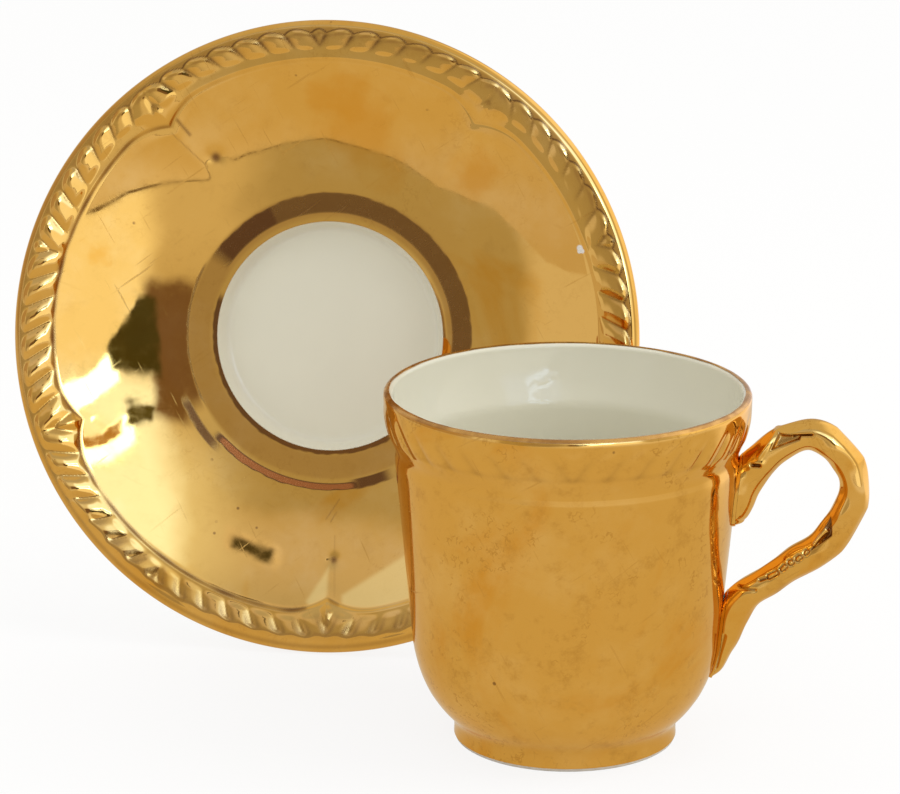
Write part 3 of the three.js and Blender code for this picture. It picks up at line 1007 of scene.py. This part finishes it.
def slip(name, low, high):
    """Collar of slip between the wall and the end of the handle that lies between two heights."""
    line = handle_line()
    near_wall = line[:, 0] - wall_line(line[:, 1]) < SLIP_REACH
    reach = line[near_wall & (line[:, 1] > low) & (line[:, 1] < high)]
    rows = handle_rows(respace(reach, 0.5), SLIP_SIDES, SLIP_COLLAR, False)
    piece = ring_body(name, rows, False, HANDLE_PLACE)
    cut(piece, wall_envelope("cutter", SLIP_THICKNESS - SLIP_GAP), "INTERSECT")
    cut(piece, wall_envelope("cutter", SLIP_GAP), "DIFFERENCE")
    return piece


# Saucer

def face_outline():
    """Gold face from the well's edge over the ring, and a flange that grows steeper outwards."""
    run = np.linspace(0, FLANGE_END - FLANGE_START, 40)
    rise = math.tan(math.radians(FLANGE_START_SLOPE)) * run + FLANGE_BEND * run**2
    flange = np.column_stack([FLANGE_START + run, FLANGE_START_HEIGHT + rise])
    return soften(np.vstack([[(LEDGE_RADIUS, LEDGE_HEIGHT)], COVE, flange]), 0.25)


def border_outline():
    """Step, sloping bed of the flutes and rolled rim, down to the edge of the gold underneath."""
    start = (FLANGE_END, FLANGE_END_HEIGHT)
    step = (FLANGE_END + 0.4, FLANGE_END_HEIGHT + 0.1)
    return soften([start, step, (BORDER_RADIUS, 14.6), *RIM_TOP, *RIM_UNDER], 0.2)


def from_cusp(angle):
    """Degrees to the nearest cusp of the lobed border."""
    turn = np.degrees(angle) - CUSP_ANGLE
    return np.abs((turn + LOBE_ANGLE / 2) % LOBE_ANGLE - LOBE_ANGLE / 2)


def facing(angle, degrees, low, high):
    """1 on the side of the saucer at an angle and 0 on the other side."""
    return smoothstep(low, high, np.cos(angle - math.radians(degrees)))


def ring_reflections(radius, angle):
    """Painted reflections: tone of dark brown arcs and a pinkish arc round the well, with edges that
    wander.
    """
    degrees = np.degrees(angle)
    wander = 0.1 * np.sin(5 * angle) + 0.06 * np.sin(23 * angle + 1) + 0.04 * np.sin(61 * angle + 2)
    tone = np.zeros(radius.shape)
    for inner, outer, start, end, depth in RING_REFLECTIONS:
        middle, half = (start + end) / 2, (end - start) / 2
        off = np.abs((degrees - middle + 180) % 360 - 180)
        across = smoothstep(inner - 0.2, inner + 0.1, radius)
        across = across * smoothstep(outer + 0.2, outer - 0.1, radius - wander)
        tone = np.maximum(tone, depth * across * smoothstep(half + 2, half - 6, off))
    return tone


def lobed(radius, height, angle):
    """The border's inner edge drawn in at each cusp, the fold below it, and the face's tones: painted
    shade along the border's step, in knots and in creases, painted reflections round the well and a
    painted highlight on two facets.
    """
    cusp = from_cusp(angle)
    pull = np.clip(1 - cusp / CUSP_SPREAD, 0, 1) ** 2
    reach = smoothstep(PULL_START, PULL_FULL, radius) * smoothstep(FLUTE_OUTER, BORDER_RADIUS, radius)
    drawn = radius - CUSP_REACH * pull * reach
    off = np.radians(cusp) * radius
    crest = np.exp(-np.hypot(off, 0.5) / FOLD_WIDTH)
    lift = FOLD_RELIEF * (1 - 0.75 * facing(angle, *LOW_FOLD_SIDE))
    fold = lift * crest * smoothstep(FOLD_START, FOLD_FULL, radius)
    fold = fold * smoothstep(BORDER_RADIUS + 0.4, FOLD_FADE, radius)
    # Painted shade along the step at the border's inner edge, stronger towards the lower left and broken
    # here and there
    uneven = 0.75 + 0.25 * np.sin(37 * angle) * np.sin(11 * angle + 1)
    line = (0.15 + 0.65 * facing(angle, *DARK_CREASE_SIDE)) * uneven
    past = radius - FLANGE_END - 0.45
    tone = np.maximum(line * bell(past / np.where(past > 0, 0.65, 0.38)), ring_reflections(radius, angle))
    slope = math.tan(math.radians(FLANGE_START_SLOPE)) + 2 * FLANGE_BEND * (drawn - FLANGE_START)
    fold = fold - slope * (radius - drawn) * smoothstep(53.5, FLANGE_END, radius)
    x, y = drawn * np.cos(angle), drawn * np.sin(angle)
    for reach, turn, size, shade in KNOTS:
        turn = math.radians(turn)
        knot = bell(np.hypot(x - reach * math.cos(turn), y - reach * math.sin(turn)) / size)
        fold = fold - KNOT_DEPTH * knot
        tone = np.maximum(tone, shade * knot**2)
    for start, end, width, shade in SHADED_CREASES:
        tone = np.maximum(tone, shade * bell(off_line(x, y, start, end) / width))
    for corners in BRIGHT_FACETS:
        tone = tone - 0.65 * smoothstep(-0.2, 1.2, depth_in(x, y, corners))
    return drawn, height + fold, tone


def fluted(radius, height, angle):
    """Slanting flutes round the border, mirrored at each cusp and in the middle of each lobe."""
    drawn, raised, tone = lobed(radius, height, angle)
    lean = from_cusp(angle) + FLUTE_LEAN * (drawn - FLUTE_MIDDLE)
    share = lean * FLUTES_PER_LOBE / LOBE_ANGLE
    groove = np.abs(2 * (share - np.floor(share)) - 1)
    low = facing(angle, *FILLED_SIDE)
    groove = groove * (1 - low * smoothstep(54.2, 55.6, radius))
    end = FLUTE_OUTER - (0.35 + 0.45 * facing(angle, *SHORT_FLUTE_SIDE) - 0.3 * low) * groove**2
    start = FLANGE_END + 0.3 + 1.7 * facing(angle, *LATE_FLUTE_SIDE) + 0.9 * low
    rise = 0.5 * smoothstep(start, start + 1.3, radius)
    rise = rise + 0.5 * smoothstep(start + 0.5, start + 3.5, radius)
    bed = rise * smoothstep(end + 0.4, end - 0.7 - 1.1 * low, radius)
    on_top = height > RIM_TURN_HEIGHT
    worn = 1 - 0.62 * facing(angle, *RUBBED_SIDE) - 0.5 * low
    worn += 0.1 * np.sin(7 * angle + 1) + 0.08 * np.sin(17 * angle + 2)
    # Painted shade: a dark line at the flutes' outer ends, lines in the grooves, a band in the bed on
    # the upper right, darker grooves on the upper left and lines in the filled flutes below
    end_shade = 0.9 * facing(angle, *DARK_END_SIDE)
    tone = np.maximum(tone, end_shade * bell((radius - end - 0.2) / 0.18) * on_top)
    gap = 0.35 * groove**6 + low * (0.26 + 0.3 * bell((groove - 0.55) / 0.2))
    gap = gap + 0.26 * facing(angle, *SHADED_BED_SIDE)
    gap = gap + 0.4 * groove**3 * facing(angle, *DARK_GROOVE_SIDE)
    tone = np.maximum(tone, gap * bed * on_top)
    # The rim's crest is darker on the left side
    rim_dark = 0.38 * bell((radius - RIM_CREST) / 0.6) * facing(angle, *DARK_RIM_SIDE)
    tone = np.maximum(tone, rim_dark * on_top)
    return drawn, raised + FLUTE_RELIEF * worn * bed * (1 - groove**2) * on_top, tone


def saucer_skin():
    face = face_outline()
    cove = face[:, 0] < FLANGE_START + 0.6
    inner = respace(face - (0, SAUCER_SKIN_THICKNESS), 0.9)[::-1][1:]
    face = np.vstack([respace(face[cove], 0.25), respace(face[~cove], 0.4)])
    border = border_outline()
    edge = int(np.argmax(border[:, 0]))
    top = respace(border[:edge], 0.2)
    under = respace(border[edge:], 0.5)
    rows = np.concatenate([
        turned(face, SAUCER_SIDES, lobed),
        turned(top[1:], SAUCER_SIDES, fluted),
        turned(under, SAUCER_SIDES),
        turned(RIM_BACK, SAUCER_SIDES),
        turned(inner, SAUCER_SIDES),
    ])
    return ring_body("saucer_gold", rows[:, ::-1], True, saucer_place())


def saucer_ware():
    """Porcelain of the saucer: white well, foot ring and underside."""
    ledge = (LEDGE_RADIUS - 0.1, LEDGE_HEIGHT - 0.1)
    well = soften([(POLE, WELL_HEIGHT), (WELL_RADIUS, WELL_HEIGHT), ledge], 0.6)
    face = respace(face_outline(), 1.0) - (0, SAUCER_WARE_INSET)
    foot_inner = SAUCER_FOOT_RADIUS - SAUCER_FOOT_WIDTH
    under = [
        (56.9, 13.6), (56.6, 12.85), (BORDER_RADIUS, 11.4), (31.6, 5.2),
        (SAUCER_FOOT_RADIUS + 0.3, SAUCER_FOOT_HEIGHT), (SAUCER_FOOT_RADIUS, 0.4),
        (SAUCER_FOOT_RADIUS - 0.5, 0), (foot_inner + 0.5, 0), (foot_inner, 0.4),
        (foot_inner - 0.3, SAUCER_FOOT_HEIGHT), (POLE, SAUCER_FOOT_HEIGHT),
    ]
    under = respace(soften(under, 0.25), 0.8)
    rows = np.vstack([respace(well, 0.7), face[1:-1], [(50.5, 13.4), (56.5, 13.9)], under])
    return ring_body("saucer_porcelain", turned(rows, PLAIN_SIDES)[:, ::-1], False, saucer_place())


def saucer_spots(rows, height):
    """Places and radii of spots on the standing saucer, in metres."""
    return [(saucer_place() @ (Vector((x, y, height)) * MM), radius * MM) for x, y, radius in rows]


# Studio

def world_light():
    """A pale room with a bright wall and lamps right of the viewer, and a dark opening before them.
    Directions are degrees right of the viewer and up. A panel slants up to its right by its rise."""
    world = bpy.data.worlds.new("studio")
    bpy.context.scene.world = world
    t = Tree(world)
    ray = t.add("ShaderNodeTexCoord").outputs["Generated"]
    x, y, z = t.add("ShaderNodeSeparateXYZ", {0: ray}).outputs
    turn = t.times(t.maths("ARCTAN2", x, t.times(y, -1.0)), 180 / math.pi)
    height = t.times(t.maths("ARCSINE", z), 180 / math.pi)
    wander = t.noise(ray, 6, detail=4)
    stray = t.noise(t.stretched(ray, (0, 0, -90), (1, 1, 1)), 7, detail=4)
    turn = t.maths("ADD", turn, t.times(t.maths("SUBTRACT", wander, 0.5), 7.0))
    height = t.maths("ADD", height, t.times(t.maths("SUBTRACT", stray, 0.5), 5.0))
    colour = t.mix(t.spread(height, 20, 70), ROOM_LOW, ROOM_HIGH)
    for left, right, low, high, rise, edge, light in PANELS:
        up = t.maths("SUBTRACT", height, t.times(t.maths("SUBTRACT", turn, left), rise))
        inside = t.times(t.between(turn, left, right, edge), t.between(up, low, high, edge))
        colour = t.mix(inside, colour, light)
    path = t.add("ShaderNodeLightPath")
    colour = t.mix(path.outputs["Is Glossy Ray"], ROOM_LIGHT, colour)
    colour = t.mix(path.outputs["Is Camera Ray"], colour, WHITE)
    background = t.add("ShaderNodeBackground", {"Color": colour})
    t.add("ShaderNodeOutputWorld", {"Surface": background.outputs[0]})


def floor():
    """White paper. It shows as white to the viewer and keeps the shadow. The gold shows it warmer."""
    reach = PAPER_REACH
    first, last = PAPER_FRONT[0][1], PAPER_FRONT[-1][1]
    outline = [(-reach, first), *PAPER_FRONT, (reach, last), (reach, reach), (-reach, reach)]
    mesh = bpy.data.meshes.new("sweep")
    mesh.from_pydata([(x, y, 0) for x, y in outline], [], [range(len(outline))])
    piece = linked("sweep", mesh)
    material, t = material_tree("sweep_paper")
    path = t.add("ShaderNodeLightPath")
    mirrored = path.outputs["Is Glossy Ray"]
    seen = t.maths("MAXIMUM", path.outputs["Is Camera Ray"], mirrored)
    seen = t.maths("MAXIMUM", seen, path.outputs["Is Transmission Ray"])
    paper = t.add("ShaderNodeBsdfDiffuse", {"Color": PAPER})
    place = t.place()
    far = t.add("ShaderNodeVectorMath", {0: place}, operation="LENGTH")
    side, behind, _ = t.add("ShaderNodeSeparateXYZ", {0: place}).outputs
    distant = t.mix(t.spread(side, -0.2, 0.02), PAPER_LEFT, PAPER_FAR)
    warm = t.mix(t.spread(far.outputs["Value"], 0.22, 0.38), PAPER_NEAR, distant)
    lit = t.times(t.spread(side, 0.1, 0.2), t.spread(behind, -0.02, 0.06))
    warm = t.mix(lit, warm, PAPER_RIGHT)
    white = t.add("ShaderNodeEmission", {"Color": t.mix(mirrored, WHITE, warm)})
    share = t.times(seen, 0.85)
    both = t.add("ShaderNodeMixShader", {0: share, 1: paper.outputs[0], 2: white.outputs[0]})
    t.finish(both.outputs[0])
    mesh.materials.append(material)


def paper_edge():
    """Dark front edge of the paper, which only the gold shows."""
    height = PAPER_EDGE_HEIGHT
    back = [(x, y, height) for x, y in PAPER_FRONT]
    front = [(x, y - width, height) for (x, y), width in zip(PAPER_FRONT, PAPER_EDGE)]
    count = len(back)
    mesh = bpy.data.meshes.new("paper_edge")
    mesh.from_pydata(back + front, [], [(k, k + 1, count + k + 1, count + k) for k in range(count - 1)])
    piece = linked("paper_edge", mesh)
    material, t = material_tree("paper_edge_card")
    t.surface(Base_Color=EDGE_CARD, Roughness=0.8)
    mesh.materials.append(material)
    piece.visible_camera = False
    piece.visible_diffuse = False
    piece.visible_shadow = False


def key_lamp():
    data = bpy.data.lights.new("key", "AREA")
    data.size = KEY_SIZE
    data.energy = KEY_POWER
    lamp = linked("key", data)
    lamp.location = KEY_PLACE
    lamp.rotation_euler = (Vector(KEY_TARGET) - lamp.location).to_track_quat("-Z", "Y").to_euler()
    lamp.visible_camera = False
    lamp.visible_glossy = False


def camera():
    data = bpy.data.cameras.new("view")
    data.lens = CAMERA_LENS
    data.sensor_width = SENSOR_WIDTH
    data.sensor_fit = "HORIZONTAL"
    data.clip_start = 0.01
    eye = linked("view", data)
    pitch = math.radians(CAMERA_PITCH)
    target = CUP_PLACE @ (Vector(CAMERA_TARGET) * MM)
    back = Vector((0, -math.cos(pitch), math.sin(pitch)))
    eye.location = target + back * CAMERA_DISTANCE * MM
    eye.rotation_euler = (math.pi / 2 - pitch, 0, 0)
    bpy.context.scene.camera = eye


camera()
world_light()
floor()
paper_edge()
key_lamp()

cup_gold = gilt("cup_gilt", stain_share=0.04, mottle=0.65, smooth=0.06)
saucer_gold = gilt(
    "saucer_gilt", stain_share=0.02, mottle=0.25, smooth=0.025,
    stains=saucer_spots(STAINS, STAIN_HEIGHT), wear=saucer_spots(CHIPS, CHIP_HEIGHT),
)
glaze = porcelain()
raw = bisque()

dress(bowl(), "cup", "cup_bowl", glaze)
dress(foot_ring(), "cup", "cup_foot_ring", raw)
dress(cup_skin(), "cup", "cup_gilding", cup_gold)
dress(lip_line(), "cup", "lip_gilding", lip_gilt())
dress(handle(), "cup", "cup_handle", cup_gold)
dress(slip("upper_slip", *UPPER_SLIP_SPAN), "cup", "handle_upper_slip", cup_gold)
dress(slip("lower_slip", *LOWER_SLIP_SPAN), "cup", "handle_lower_slip", cup_gold)
dress(saucer_ware(), "saucer", "saucer_body", glaze)
dress(saucer_skin(), "saucer", "saucer_gilding", saucer_gold)

bpy.context.scene.view_settings.view_transform = "Standard"
